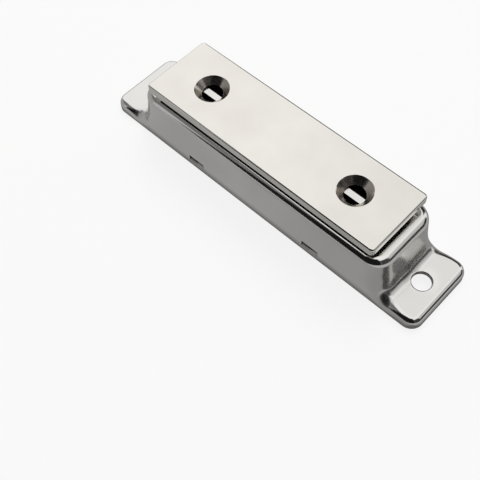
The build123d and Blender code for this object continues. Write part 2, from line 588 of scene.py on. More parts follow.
@dataclass(frozen=True)
class LitFloor(Dielectric):
    """Paint that is part plain white wherever it is seen, on its own or in metal.

    Attributes:
        white: share of the plain white.
    """

    white: float = 0.85

    def surface(self, wires: Wiring) -> Socket:
        """Shader of the floor, which keeps the catch's shadow.

        Args:
            wires: tree under construction.

        Returns:
            The shader.
        """
        painted = super().surface(wires)
        ray = wires.add("ShaderNodeLightPath").node
        seen: Any = 0.0
        for kind in ("Is Camera Ray", "Is Glossy Ray", "Is Transmission Ray"):
            seen = wires.add(MATH, seen, ray.outputs[kind], operation="MAXIMUM")
        share = wires.add(MATH, seen, self.white, operation="MULTIPLY")
        white = wires.add("ShaderNodeEmission", named={"Strength": 1.0})
        return wires.add("ShaderNodeMixShader", share, painted, white)


# Sintered strontium ferrite with ground faces: matt charcoal with fine grey specks.
FERRITE = Dielectric("sintered_ferrite", "#1c1c1e", "#2a2a2c", 0.4, 0.55, 0.01)

# Black moulded polyamide: fine spark-eroded texture from the mould.
MOULDED_POLYAMIDE = Dielectric("moulded_black_polyamide", "#141414", "#1d1d1d", 0.35, 0.5, 0.015)

# Matt emulsion on a flat board: an even, near-white ground that takes a soft shadow.
PALE_FLOOR = LitFloor("pale_floor", "#f6f6f5", "#f4f4f3", 40.0, 0.9, 0.0)


# ---- Housing ----


class Surface(IntEnum):
    """Surfaces of the drawn sheet, in the order of its materials."""

    SKIN = 0
    CUT = 1
    LUG = 2


@dataclass
class DrawnHousing:
    """The housing, drawn from one sheet: block, end walls, flares, screw ears and lanced lugs.

    Attributes:
        sheet: thickness of the sheet, mm.
        ear_height: height of the ears, mm.
        ear_plan_radius: radius of their corners in plan, mm.
        ear_roll: radius of their rolled edge, mm.
        top_roll: radius of the block's upper edge, mm.
        block_corner: radius of the block's upright corners, mm.
        draft: lean of the end walls, radians.
        wall_foot: distance of their foot from the middle, mm.
        flare_radius: radius of the concave flare at their foot, mm.
        roll_start: how far above the flare the corner starts to shrink, mm.
        roll_end: how far past the flare it still shrinks, mm.
        hole_mouth: radius of the screw hole's drawn-in rim, mm.
        dish_lean: steepest lean of the dish round it, degrees.
        dish_reach: distance over which the dish fades, mm.
        window: length, width and corner radius of the poles' window, mm.
        lug_spacing: distance between the two lugs of a side, mm.
        slot_length: length of a slot, mm.
        slot_bottom: level of its sill, mm.
        slot_height: height of its opening, mm.
        lug_gap: gap at each side of the lug, mm.
        lug_bend: radius of the lug's bend, mm.
        lug_turn: how far the lug leans in, degrees.
        lug_top: level of its lip, mm.
        round_steps: faces round each rounded corner.
        wall_steps: faces down the part of the end wall where the corner shrinks.
        flare_steps: faces round the flare.
        run_out_steps: faces along the part of the ear where the corner shrinks.
        window_steps: faces round each corner of the window.
        bend_steps: faces round the hole's mouth and the lug's bend.
        hole_steps: faces round half of the screw hole.
        pitch: spacing of the points inside the developed ear, mm.
    """

    sheet: float = 0.8
    ear_height: float = 2.7
    ear_plan_radius: float = 2.7
    ear_roll: float = 1.4
    top_roll: float = 1.8
    block_corner: float = 4.4
    draft: float = math.radians(8)
    wall_foot: float = 34.35
    flare_radius: float = 2.2
    roll_start: float = 3.2
    roll_end: float = 3.9
    hole_mouth: float = 0.35
    dish_lean: float = 6.0
    dish_reach: float = 1.5
    window: tuple[float, float, float] = (58.4, 14.4, 0.5)
    lug_spacing: float = 32.6
    slot_length: float = 4.3
    slot_bottom: float = 1.3
    slot_height: float = 1.6
    lug_gap: float = 0.1
    lug_bend: float = 0.5
    lug_turn: float = 64.0
    lug_top: float = 2.6
    round_steps: int = 24
    wall_steps: int = 24
    flare_steps: int = 40
    run_out_steps: int = 32
    window_steps: int = 6
    bend_steps: int = 8
    hole_steps: int = 48
    pitch: float = 0.3
    draft_mesh: Draft = field(default_factory=Draft)

    def __post_init__(self) -> None:
        """Take the sizes that the frame holds."""
        low, high = node_sizes("housing")
        self.length, self.width, self.height = (high - low).tolist()
        screws = mount_dims("ear_screws")
        self.hole_x = screws["spacing_x_mm"] / 2
        self.hole_radius = screws["hole_r_mm"]
        self.tip_x = self.length / 2 - self.ear_plan_radius
        slope = 1 / math.cos(self.draft) - math.tan(self.draft)
        self.flare_x = self.wall_foot + self.flare_radius * slope
        self.flare_z = self.ear_height + self.flare_radius

    # -- end profile: distance s runs down the wall, through the flare and along the ear --

    def flare_length(self, inset: float) -> float:
        """Length of the flare's arc on the skin set in by a distance."""
        return (self.flare_radius + inset) * (math.pi / 2 - self.draft)

    def profile(self, s: Array, inset: float) -> tuple[Array, Array]:
        """Places and normals of the end profile, in the X-Z plane.

        Args:
            s: distance from the top of the flare, negative up the wall.
            inset: distance of the skin from the outside of the sheet.

        Returns:
            Places and unit normals, each shaped (points, 2).
        """
        radius = self.flare_radius + inset
        angle = self.draft + np.clip(s / radius, 0, math.pi / 2 - self.draft)
        normal = np.stack([np.cos(angle), np.sin(angle)], axis=-1)
        place = np.array([self.flare_x, self.flare_z]) - radius * normal
        wall = np.minimum(s, 0)[:, None] * np.array([math.sin(self.draft), -math.cos(self.draft)])
        ear = np.maximum(s - self.flare_length(inset), 0)[:, None] * np.array([1.0, 0.0])
        return place + wall + ear, normal

    def corner_radius(self, s: Array, inset: float) -> tuple[Array, Array]:
        """Radius of the long edge's rounding at each distance, and its rate of change.

        Args:
            s: distances along the end profile.
            inset: distance of the skin from the outside of the sheet.

        Returns:
            The radii and their rates.
        """
        start, end = -self.roll_start, self.flare_length(inset) + self.roll_end
        t = np.clip((s - start) / (end - start), 0, 1)
        change = self.ear_roll - self.block_corner
        radius = self.block_corner + change * t**2 * (3 - 2 * t) - inset
        return radius, change * 6 * t * (1 - t) / (end - start)

    def corner(self, s: Array, turn: Array, inset: float) -> tuple[Array, Array]:
        """Places and normals of the rounding between the end profile and the near long side.

        Args:
            s: distances along the end profile, shaped (rows,) or (rows, columns).
            turn: angle round the corner, from the profile to the side, shaped (columns,).
            inset: distance of the skin from the outside of the sheet.

        Returns:
            Places and normals shaped (rows, columns, 3).
        """
        s = np.broadcast_to(s if s.ndim == 2 else s[:, None], (len(s), len(turn)))
        place, normal = self.profile(s.reshape(-1), inset)
        place, normal = place.reshape(*s.shape, 2), normal.reshape(*s.shape, 2)
        radius, rate = self.corner_radius(s, inset)
        cos, sin = np.cos(turn), np.sin(turn)
        drop = (radius * (1 - cos))[..., None]
        flat = place - drop * normal
        side = -self.width / 2 + inset + radius * (1 - sin)
        places = np.stack([flat[..., 0], side, flat[..., 1]], axis=-1)
        along = np.stack([normal[..., 1], -normal[..., 0]], axis=-1)
        on_flare = (s > 0) & (s < self.flare_length(inset))
        bend = np.where(on_flare, 1 / (self.flare_radius + inset), 0)
        step = along * (1 + radius * (1 - cos) * bend)[..., None]
        step = step - (rate * (1 - cos))[..., None] * normal
        by_s = np.stack([step[..., 0], rate * (1 - sin), step[..., 1]], axis=-1)
        round_it = -(radius * sin)[..., None] * normal
        by_turn = np.stack([round_it[..., 0], -radius * cos, round_it[..., 1]], axis=-1)
        normals = np.cross(by_turn, by_s)
        normals /= np.linalg.norm(normals, axis=-1, keepdims=True)
        guess = np.stack([normal[..., 0] * cos, -sin + 0 * s, normal[..., 1] * cos], axis=-1)
        return places, normals * np.sign((normals * guess).sum(axis=-1, keepdims=True))

    # -- skins --

    @staticmethod
    def from_middle(edge: Array, axis: int) -> Array:
        """Strip that runs out to an edge from a middle plane.

        Args:
            edge: places along the edge.
            axis: axis that the plane is square to.

        Returns:
            Its two rows of places.
        """
        flat = np.ones(3)
        flat[axis] = 0
        return np.stack([edge * flat, edge])

    def skin(self, inset: float, outward: float) -> None:
        """Add one skin of the near right quarter to the draft.

        Args:
            inset: distance from the outside of the sheet.
            outward: 1 for the outer skin, -1 for the inner.
        """
        mesh = self.draft_mesh
        turn = turns(0, 90, self.round_steps)
        rolled, rolled_normals = self.top_rolling(turn, inset)
        mesh.grid(rolled, outward * rolled_normals)
        for axis, column in ((0, -1), (1, 0)):
            strip = self.from_middle(rolled[:, column], axis)
            mesh.grid(strip, np.stack([outward * rolled_normals[:, column]] * 2))
        self.top_face(rolled[0], inset, outward)

        # end wall and the upper corner, down to the flare
        starts = self.s_of_height(rolled[-1], inset)
        lower = np.linspace(-self.roll_start, 0, self.wall_steps + 1)[:, None] + 0 * turn
        wall, wall_normals = self.corner(np.concatenate([starts[None], lower]), turn, inset)
        mesh.grid(wall, outward * wall_normals)
        strip = self.from_middle(wall[:, 0], 1)
        mesh.grid(strip, np.stack([outward * wall_normals[:, 0]] * 2))

        # the flare, and the ear's long edge
        end = self.flare_length(inset)
        shrunk = end + np.linspace(0, self.roll_end, self.run_out_steps + 1)[1:]
        last = end + self.tip_x - self.flare_x
        bent = np.linspace(0, end, self.flare_steps + 1)
        stations = np.concatenate([bent, shrunk, [last]])
        edge, edge_normals = self.corner(stations, turn, inset)
        mesh.grid(edge, outward * edge_normals)

        tip, foot = self.ear_tip(turn, inset, outward)
        self.long_side(np.concatenate([wall[:, -1], edge[1:, -1]]), inset, outward)
        self.hole_rims.append(self.ear_face(edge[:, 0], stations, tip, inset, outward))
        side_y = -self.width / 2 + inset
        self.feet.append(np.array([(0, side_y, 0), *foot.tolist(), (foot[-1, 0], 0, 0)]))

    def top_face(self, rim: Array, inset: float, outward: float) -> None:
        """Add the flat top, cut by the window for the poles.

        Args:
            rim: upper edge of the rolled corner.
            inset: distance of the skin from the outside of the sheet.
            outward: 1 for the outer skin, -1 for the inner.
        """
        top = self.height - inset
        half_x, half_y, corner = self.window[0] / 2, self.window[1] / 2, self.window[2]
        bend = turns(0, 90, self.window_steps)
        x = np.array([half_x, *(half_x - corner + corner * np.cos(bend)), 0])
        y = -np.array([0, *(half_y - corner + corner * np.sin(bend)), half_y])
        window = np.stack([x, y, np.full(len(x), top)], axis=1)
        outer = np.array([(rim[0, 0], 0, top), *rim.tolist(), (0, rim[-1, 1], top)])
        self.draft_mesh.flat([np.concatenate([outer, window[::-1]])], outward * UP)
        self.window_loops.append(window)

    def ear_tip(self, turn: Array, inset: float, outward: float) -> tuple[Array, Array]:
        """Add the ear's free end, rounded in plan, with its rolled edge and its wall.

        Args:
            turn: angle over the rolled edge.
            inset: distance of the skin from the outside of the sheet.
            outward: 1 for the outer skin, -1 for the inner.

        Returns:
            The rolled edge's upper boundary, and the wall's foot.
        """
        mesh = self.draft_mesh
        plan, roll = self.ear_plan_radius - inset, self.ear_roll - inset
        sweep = turns(0, 90, self.round_steps)
        away = np.stack([np.sin(sweep), -np.cos(sweep), np.zeros_like(sweep)], axis=1)
        middle_y = -self.width / 2 + inset + plan
        middle = np.array([self.tip_x, middle_y, self.ear_height - self.ear_roll])
        centre = middle + (plan - roll) * away
        normals = np.cos(turn)[None, :, None] * UP + np.sin(turn)[None, :, None] * away[:, None]
        tip = centre[:, None] + roll * normals
        mesh.grid(tip, outward * normals)
        mesh.grid(self.from_middle(tip[-1], 1), np.stack([outward * normals[-1]] * 2))
        wall = np.stack([tip[:, -1], tip[:, -1] * (1, 1, 0)])
        mesh.grid(wall, np.stack([outward * away] * 2))
        end_normals = np.broadcast_to((outward, 0.0, 0.0), (2, 2, 3))
        mesh.grid(self.from_middle(wall[:, -1], 1), end_normals)
        return tip[:, 0], wall[1]

    def long_side(self, edge: Array, inset: float, outward: float) -> None:
        """Add the flat long side, with its slot.

        Args:
            edge: places where the rounded corner and the ear's roll meet the side.
            inset: distance of the skin from the outside of the sheet.
            outward: 1 for the outer skin, -1 for the inner.
        """
        y = -self.width / 2 + inset
        corners = np.array([(0, y, 0), (self.tip_x, y, 0)])
        side = np.concatenate([corners, edge[::-1], [(0, y, edge[0, 2])]])
        normal = np.array([0.0, -outward, 0.0])
        self.draft_mesh.flat([side, self.slot_loop(y, inset)], normal)

    def s_of_height(self, low: Array, inset: float) -> Array:
        """Find where the corner meets the top roll's lower edge.

        Args:
            low: places along that edge.
            inset: distance of the skin from the outside of the sheet.

        Returns:
            Their distances along the end profile.
        """
        turn = turns(0, 90, self.round_steps)
        radius = self.block_corner - inset
        height = low[:, 2] + radius * (1 - np.cos(turn)) * math.sin(self.draft)
        start = self.profile(np.zeros(1), inset)[0][0, 1]
        return (start - height) / math.cos(self.draft)

    def top_rolling(self, turn: Array, inset: float) -> tuple[Array, Array]:
        """The rolled edge round the block's top, over its corner.

        Args:
            turn: angle round the corner, from the end wall to the long side.
            inset: distance of the skin from the outside of the sheet.

        Returns:
            Its places and normals, from its upper edge to its lower one.
        """
        roll, corner = self.top_roll - inset, self.block_corner - inset
        wall = np.array([math.cos(self.draft), math.sin(self.draft)])
        cos, sin = np.cos(turn), np.sin(turn)
        outward = np.stack([wall[0] * cos, -sin, wall[1] * cos], axis=1)
        reach = corner - (corner - roll) * cos
        height = self.height - self.top_roll + reach * wall[1]
        start = self.profile(np.zeros(1), inset)[0][0, 1]
        flat = self.profile((start - height) / math.cos(self.draft), inset)[0]
        flat = flat - reach[:, None] * wall
        side = -self.width / 2 + inset + corner - (corner - roll) * sin
        centre = np.stack([flat[:, 0], side, flat[:, 1]], axis=1)
        span = np.arccos(outward[:, 2])
        share = np.linspace(0, 1, self.round_steps + 1)[:, None]
        first = np.sin((1 - share) * span) / np.sin(span)
        second = np.sin(share * span) / np.sin(span)
        normals = first[..., None] * UP + second[..., None] * outward[None]
        return centre[None] + roll * normals, normals

    def slot_loop(self, y: float, inset: float) -> Array:
        """Boundary of the lanced slot on one skin; the inner one runs down behind the lug.

        Args:
            y: place of the skin.
            inset: distance of the skin from the outside of the sheet.

        Returns:
            The boundary's corners.
        """
        x, half = self.lug_spacing / 2, self.slot_length / 2
        low, high = self.slot_bottom, self.slot_bottom + self.slot_height
        tab = half - self.lug_gap
        loop = [(x - half, y, high), (x - half, y, low), (x - tab, y, low), (x + tab, y, low)]
        if inset:
            root = low - self.sheet / 2
            loop[3:3] = [(x - tab, y, root), (x + tab, y, root)]
        return np.array([*loop, (x + half, y, low), (x + half, y, high)])

    def ear_face(
        self, edge: Array, stations: Array, tip: Array, inset: float, outward: float
    ) -> Array:
        """Add the flare and the top of the ear, with its screw hole, as one developed sheet.

        Args:
            edge: places where the sheet meets the rounding of the long edge.
            stations: distances of those places along the profile.
            tip: places where it meets the rounding of the ear's tip.
            inset: distance of the skin from the outside of the sheet.
            outward: 1 for the outer skin, -1 for the inner.

        Returns:
            The hole's rim on this skin, from the block to the tip.
        """
        end = self.flare_length(inset)
        flare = self.flare_radius + inset
        radius = self.hole_radius + (0 if inset else self.hole_mouth)

        def developed(x: Array) -> Array:
            """Distance along the profile of points at or past the flare."""
            back = np.clip((self.flare_x - x) / flare, 0, 1)
            bent = flare * (np.arccos(back) - self.draft)
            return np.where(x < self.flare_x, bent, end + x - self.flare_x)

        around = turns(180, 0, self.hole_steps)
        rim_x = self.hole_x + radius * np.cos(around)
        rim = np.stack([developed(rim_x), -radius * np.sin(around)], axis=1)
        rim[[0, -1], 1] = 0
        boundary = np.stack([stations, edge[:, 1]], axis=1)
        tip_flat = np.stack([end + tip[1:, 0] - self.flare_x, tip[1:, 1]], axis=1)
        last = tip_flat[-1, 0]
        loop = np.concatenate([[(0, 0)], boundary, tip_flat, [(last, 0)], rim[::-1]])
        pitch = self.pitch
        rows = np.arange(-self.width / 2, 0, pitch) + pitch / 2
        grid_s, grid_y = np.meshgrid(np.arange(pitch, last, pitch), rows)
        fill = np.stack([grid_s.ravel(), grid_y.ravel()], axis=1)
        long_edge = np.concatenate([boundary, tip_flat])
        edge_y = np.interp(fill[:, 0], long_edge[:, 0], long_edge[:, 1])
        centre_s = developed(np.array([self.hole_x]))[0]
        margin, hole_margin = 0.5 * pitch, 0.6 * pitch
        off_hole = np.hypot(fill[:, 0] - centre_s, fill[:, 1]) > radius + hole_margin
        inside = (fill[:, 1] > edge_y + margin) & (fill[:, 0] < last - margin)
        fill = fill[inside & off_hole]
        points = np.concatenate([loop, fill])
        ring = [(k, (k + 1) % len(loop)) for k in range(len(loop))]
        region = [list(range(len(loop)))]
        within, nearest = 1, 1e-6  # keep what lies in the region; distance that counts as none
        verts, _, triangles, *_ = delaunay_2d_cdt(
            [Vector(p) for p in points], ring, region, within, nearest
        )
        flat = np.array([tuple(v) for v in verts])
        place, normal = self.profile(flat[:, 0], inset)
        places = np.stack([place[:, 0], flat[:, 1], place[:, 1]], axis=1)
        normals = np.stack([normal[:, 0], 0 * flat[:, 1], normal[:, 1]], axis=1)
        if not inset:
            normals = self.dished(places, normals)
        corners = np.array([list(t) for t in triangles])
        self.draft_mesh.add(places[corners], outward * normals[corners])
        rim_place, _ = self.profile(rim[:, 0], inset)
        return np.stack([rim_place[:, 0], rim[:, 1], rim_place[:, 1]], axis=1)

    def dished(self, places: Array, normals: Array) -> Array:
        """Lean the ear's normals into the shallow dish that the punch has pressed round the hole.

        Args:
            places: places on the outer skin, shaped (points, 3).
            normals: normals of the undished ear.

        Returns:
            The leaning normals.
        """
        off = places[:, :2] - np.array([self.hole_x, 0])
        far = np.hypot(off[:, 0], off[:, 1])
        past = np.maximum(far - self.hole_radius - self.hole_mouth, 0) / self.dish_reach
        lean = math.tan(math.radians(self.dish_lean)) * np.exp(-(past**2))
        leaning = normals.copy()
        leaning[:, :2] -= off * (lean / far)[:, None]
        return leaning / np.linalg.norm(leaning, axis=1, keepdims=True)

    # -- cut edges --

    def cut_edges(self) -> None:
        """Add the sheet's cut edges: the rim it stands on, the window, the slot and the hole."""
        mesh = self.draft_mesh
        outer, inner = self.feet
        mesh.flat([np.concatenate([outer, inner[::-1]])], -UP, Surface.CUT)
        above, below = self.window_loops
        across = np.gradient(above[:, :2], axis=0)
        normals = np.stack([across[:, 1], -across[:, 0], 0 * across[:, 0]], axis=1)
        normals /= np.linalg.norm(normals, axis=1, keepdims=True)
        normals *= -np.sign((normals[:, :2] * above[:, :2]).sum(axis=1, keepdims=True))
        mesh.grid(np.stack([above, below]), np.stack([normals, normals]), Surface.CUT)
        self.hole_wall()
        self.lug_and_slot()

    def hole_wall(self) -> None:
        """Add the wall of the ear's screw hole, with the rim that the punch has drawn in."""
        outer, inner = self.hole_rims
        centre = np.array([self.hole_x, 0])
        away = outer[:, :2] - centre
        away /= np.linalg.norm(away, axis=1, keepdims=True)
        inward = np.concatenate([-away, np.zeros((len(away), 1))], axis=1)
        mouth = self.hole_mouth
        rows, normals = [outer], [inward]
        for angle in turns(90, 0, self.bend_steps):
            radius = self.hole_radius + mouth * (1 - math.cos(angle))
            height = self.ear_height - mouth * (1 - math.sin(angle))
            ring = np.concatenate([centre + radius * away, np.full((len(away), 1), height)], axis=1)
            rows.append(ring)
            normals.append(inward * math.cos(angle) + UP * math.sin(angle))
        rows.append(inner)
        normals.append(inward)
        self.draft_mesh.grid(rows[:2], [inward, inward], Surface.SKIN)
        self.draft_mesh.grid(rows[1:-1], normals[1:-1], Surface.SKIN)
        self.draft_mesh.grid(rows[-2:], [inward, inward], Surface.CUT)

    def lug_and_slot(self) -> None:
        """Add the walls of one slot and the lug that was lanced out of it and bent inwards."""
        mesh = self.draft_mesh
        x, half = self.lug_spacing / 2, self.slot_length / 2
        tab = half - self.lug_gap
        low, high = self.slot_bottom, self.slot_bottom + self.slot_height
        out, back = -self.width / 2, -self.width / 2 + self.sheet
        bend = turns(0, self.lug_turn, self.bend_steps)
        heading = np.array((math.sin(bend[-1]), math.cos(bend[-1])))
        root = low - self.sheet / 2

        def sheet_face(points: Sequence[tuple[float, ...]], slot: Surface = Surface.CUT) -> None:
            """Add one flat face.

            Args:
                points: its corners, running anticlockwise as it is seen.
                slot: surface that it belongs to.
            """
            loop = np.array(points)
            normal = np.cross(loop[1] - loop[0], loop[2] - loop[1])
            mesh.flat([loop], normal / np.linalg.norm(normal), slot)

        bow = self.lug_bend
        arc = [(out + bow * (1 - math.cos(a)), low + bow * math.sin(a)) for a in bend]
        lip = arc[-1] + heading * (self.lug_top - arc[-1][1]) / heading[1]
        tip = lip + self.sheet * np.array((heading[1], -heading[0]))
        skin_rows = [[(end, *place) for end in (x - tab, x + tab)] for place in (*arc, lip)]
        skin_normals = [[(0, -math.cos(a), math.sin(a))] * 2 for a in (*bend, bend[-1])]
        mesh.grid(skin_rows, skin_normals, Surface.LUG)
        for sign in (-1, 1):
            wall, flank = x + sign * half, x + sign * tab
            jamb = [(wall, out, low), (wall, back, low), (wall, back, high), (wall, out, high)]
            sheet_face(jamb[::-sign])
            sill = [(flank, out, low), (flank, back, low), (wall, back, low), (wall, out, low)]
            sheet_face(sill[::-sign])
            side = [*arc, lip, tip, (back, root), (back, low)]
            sheet_face([(flank, *place) for place in side][::sign])
        left, right = x - tab, x + tab
        for (low_y, low_z), (high_y, high_z), slot in (
            (lip, tip, Surface.CUT),
            (tip, (back, root), Surface.SKIN),
        ):
            band = [(left, low_y, low_z), (right, low_y, low_z), (right, high_y, high_z)]
            sheet_face([*band, (left, high_y, high_z)], slot)
        lintel = [(x - half, out, high), (x - half, back, high), (x + half, back, high)]
        sheet_face([*lintel, (x + half, out, high)])

    def build(self) -> bpy.types.Object:
        """Build and dress the housing.

        Returns:
            The finished piece.
        """
        self.window_loops: list[Array] = []
        self.hole_rims: list[Array] = []
        self.feet: list[Array] = []
        self.skin(0.0, 1.0)
        self.skin(self.sheet, -1.0)
        self.cut_edges()
        self.draft_mesh.mirror(0)
        self.draft_mesh.mirror(1)
        finishes = (DRAWN_STAINLESS, SHEARED_STAINLESS, LUG_SKIN_HIGHLIGHT)
        piece = self.draft_mesh.build("drawn_housing", [finish.material() for finish in finishes])
        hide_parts("housing")
        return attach(piece, "catch")


# ---- Pieces made by geometry nodes ----


def evaluated_mesh(piece: bpy.types.Object) -> bpy.types.Mesh:
    """Plain mesh of an object with its modifiers applied."""
    depsgraph = bpy.context.evaluated_depsgraph_get()
    depsgraph.update()
    return bpy.data.meshes.new_from_object(piece.evaluated_get(depsgraph))


class Recipe(Wiring):
    """A geometry-node tree under construction, with named inputs for its sizes."""

    def __init__(self, name: str) -> None:
        """Open an empty tree with a geometry output."""
        super().__init__(bpy.data.node_groups.new(name, "GeometryNodeTree"))
        kind = "NodeSocketGeometry"
        self.tree.interface.new_socket("Geometry", in_out="OUTPUT", socket_type=kind)
        self.source = self.tree.nodes.new("NodeGroupInput")
        self.values: dict[str, float] = {}

    def sizes(self, values: dict[str, float]) -> list[Socket]:
        """Add named sizes.

        Args:
            values: each input's name and value, mm.

        Returns:
            The sockets that give the values inside the tree, in metres.
        """
        face = self.tree.interface
        for name, value in values.items():
            item = face.new_socket(name, in_out="INPUT", socket_type="NodeSocketFloat")
            self.values[item.identifier] = value * MM
        return [self.source.outputs[name] for name in values]

    def offset(self, start: Any, step: Any, times: Any = 1.0) -> Socket:
        """Length that lies some times a step past another."""
        return self.add(MATH, step, times, start, operation="MULTIPLY_ADD")

    def lift(self, shape: Socket, height: Any) -> Socket:
        """Raise a shape to a height."""
        move = {"Geometry": shape, "Translation": self.add(COMBINE, 0.0, 0.0, height)}
        return self.add("GeometryNodeTransform", named=move)

    def copies(self, points: Socket, shape: Socket) -> Socket:
        """Put a real copy of a shape at each point."""
        placed = {"Points": points, "Instance": shape}
        instances = self.add("GeometryNodeInstanceOnPoints", named=placed)
        return self.add("GeometryNodeRealizeInstances", instances)

    def bar(self, length: Socket, thick: Socket, height: Socket, foot: Socket) -> Socket:
        """Upright slab that stands on a level.

        Args:
            length: size along the catch.
            thick: size across it.
            height: size upwards.
            foot: level that it stands on.

        Returns:
            The slab.
        """
        size = {"Size": self.add(COMBINE, length, thick, height)}
        slab = self.add("GeometryNodeMeshCube", named=size)
        return self.lift(slab, self.offset(foot, height, 0.5))

    def make(
        self, name: str, shape: Socket, finishes: dict[bpy.types.Material, Socket | None]
    ) -> bpy.types.Object:
        """Realize and dress a shape, run the tree and turn what it makes into a plain mesh object.

        Args:
            name: the new object's name.
            shape: finished geometry.
            finishes: each material with the selection that it goes on, None for all faces.

        Returns:
            The object, at the origin, without modifiers.
        """
        shape = self.add("GeometryNodeRealizeInstances", shape)
        for material, selection in finishes.items():
            inputs = {"Geometry": shape, "Material": material}
            if selection is not None:
                inputs["Selection"] = selection
            shape = self.add("GeometryNodeSetMaterial", named=inputs)
        self.add("NodeGroupOutput", shape)
        blank = in_scene(name + "_blank", bpy.data.meshes.new(name + "_blank"))
        modifier = blank.modifiers.new("recipe", "NODES")
        modifier.node_group = self.tree
        for identifier, value in self.values.items():
            modifier[identifier] = value
        mesh = evaluated_mesh(blank)
        bpy.data.objects.remove(blank)
        mesh.name = name
        # the blank brings an empty material slot, which goes before the real ones
        used = [polygon.material_index - 1 for polygon in mesh.polygons]
        mesh.materials.pop(index=0)
        mesh.polygons.foreach_set("material_index", used)
        return in_scene(name, mesh)


def face_outward(mesh: bpy.types.Mesh, normal: Callable[[Array, Array], Array]) -> None:
    """Turn every face of a mesh outward and give its corners their true normals.

    Args:
        mesh: mesh to correct.
        normal: gives the normal at a place on the face with a given middle, both in mm.
    """
    work = bmesh.new()
    work.from_mesh(mesh)
    for face in list(work.faces):
        middle = np.array(face.calc_center_median()) / MM
        if face.calc_area() and np.dot(face.normal, normal(middle, middle)) < 0:
            face.normal_flip()
    work.to_mesh(mesh)
    work.free()
    mesh.polygons.foreach_set("use_smooth", [True] * len(mesh.polygons))
    found = []
    for face in mesh.polygons:
        middle = np.array(face.center) / MM
        corners = [np.array(mesh.vertices[k].co) / MM for k in face.vertices]
        found += [normal(corner, middle).tolist() for corner in corners]
    mesh.normals_split_custom_set(found)
    mesh.update()


def break_edges(piece: bpy.types.Object, width: float) -> None:
    """Break every sharp edge of a piece.

    Args:
        piece: gets a plain mesh with the edges broken.
        width: width of the broken edge, mm.
    """
    piece.data.polygons.foreach_set("use_smooth", [True] * len(piece.data.polygons))
    bevel = piece.modifiers.new("edges", "BEVEL")
    bevel.width = width * MM
    bevel.segments = 2
    bevel.harden_normals = True
    piece.data = evaluated_mesh(piece)
    piece.modifiers.clear()


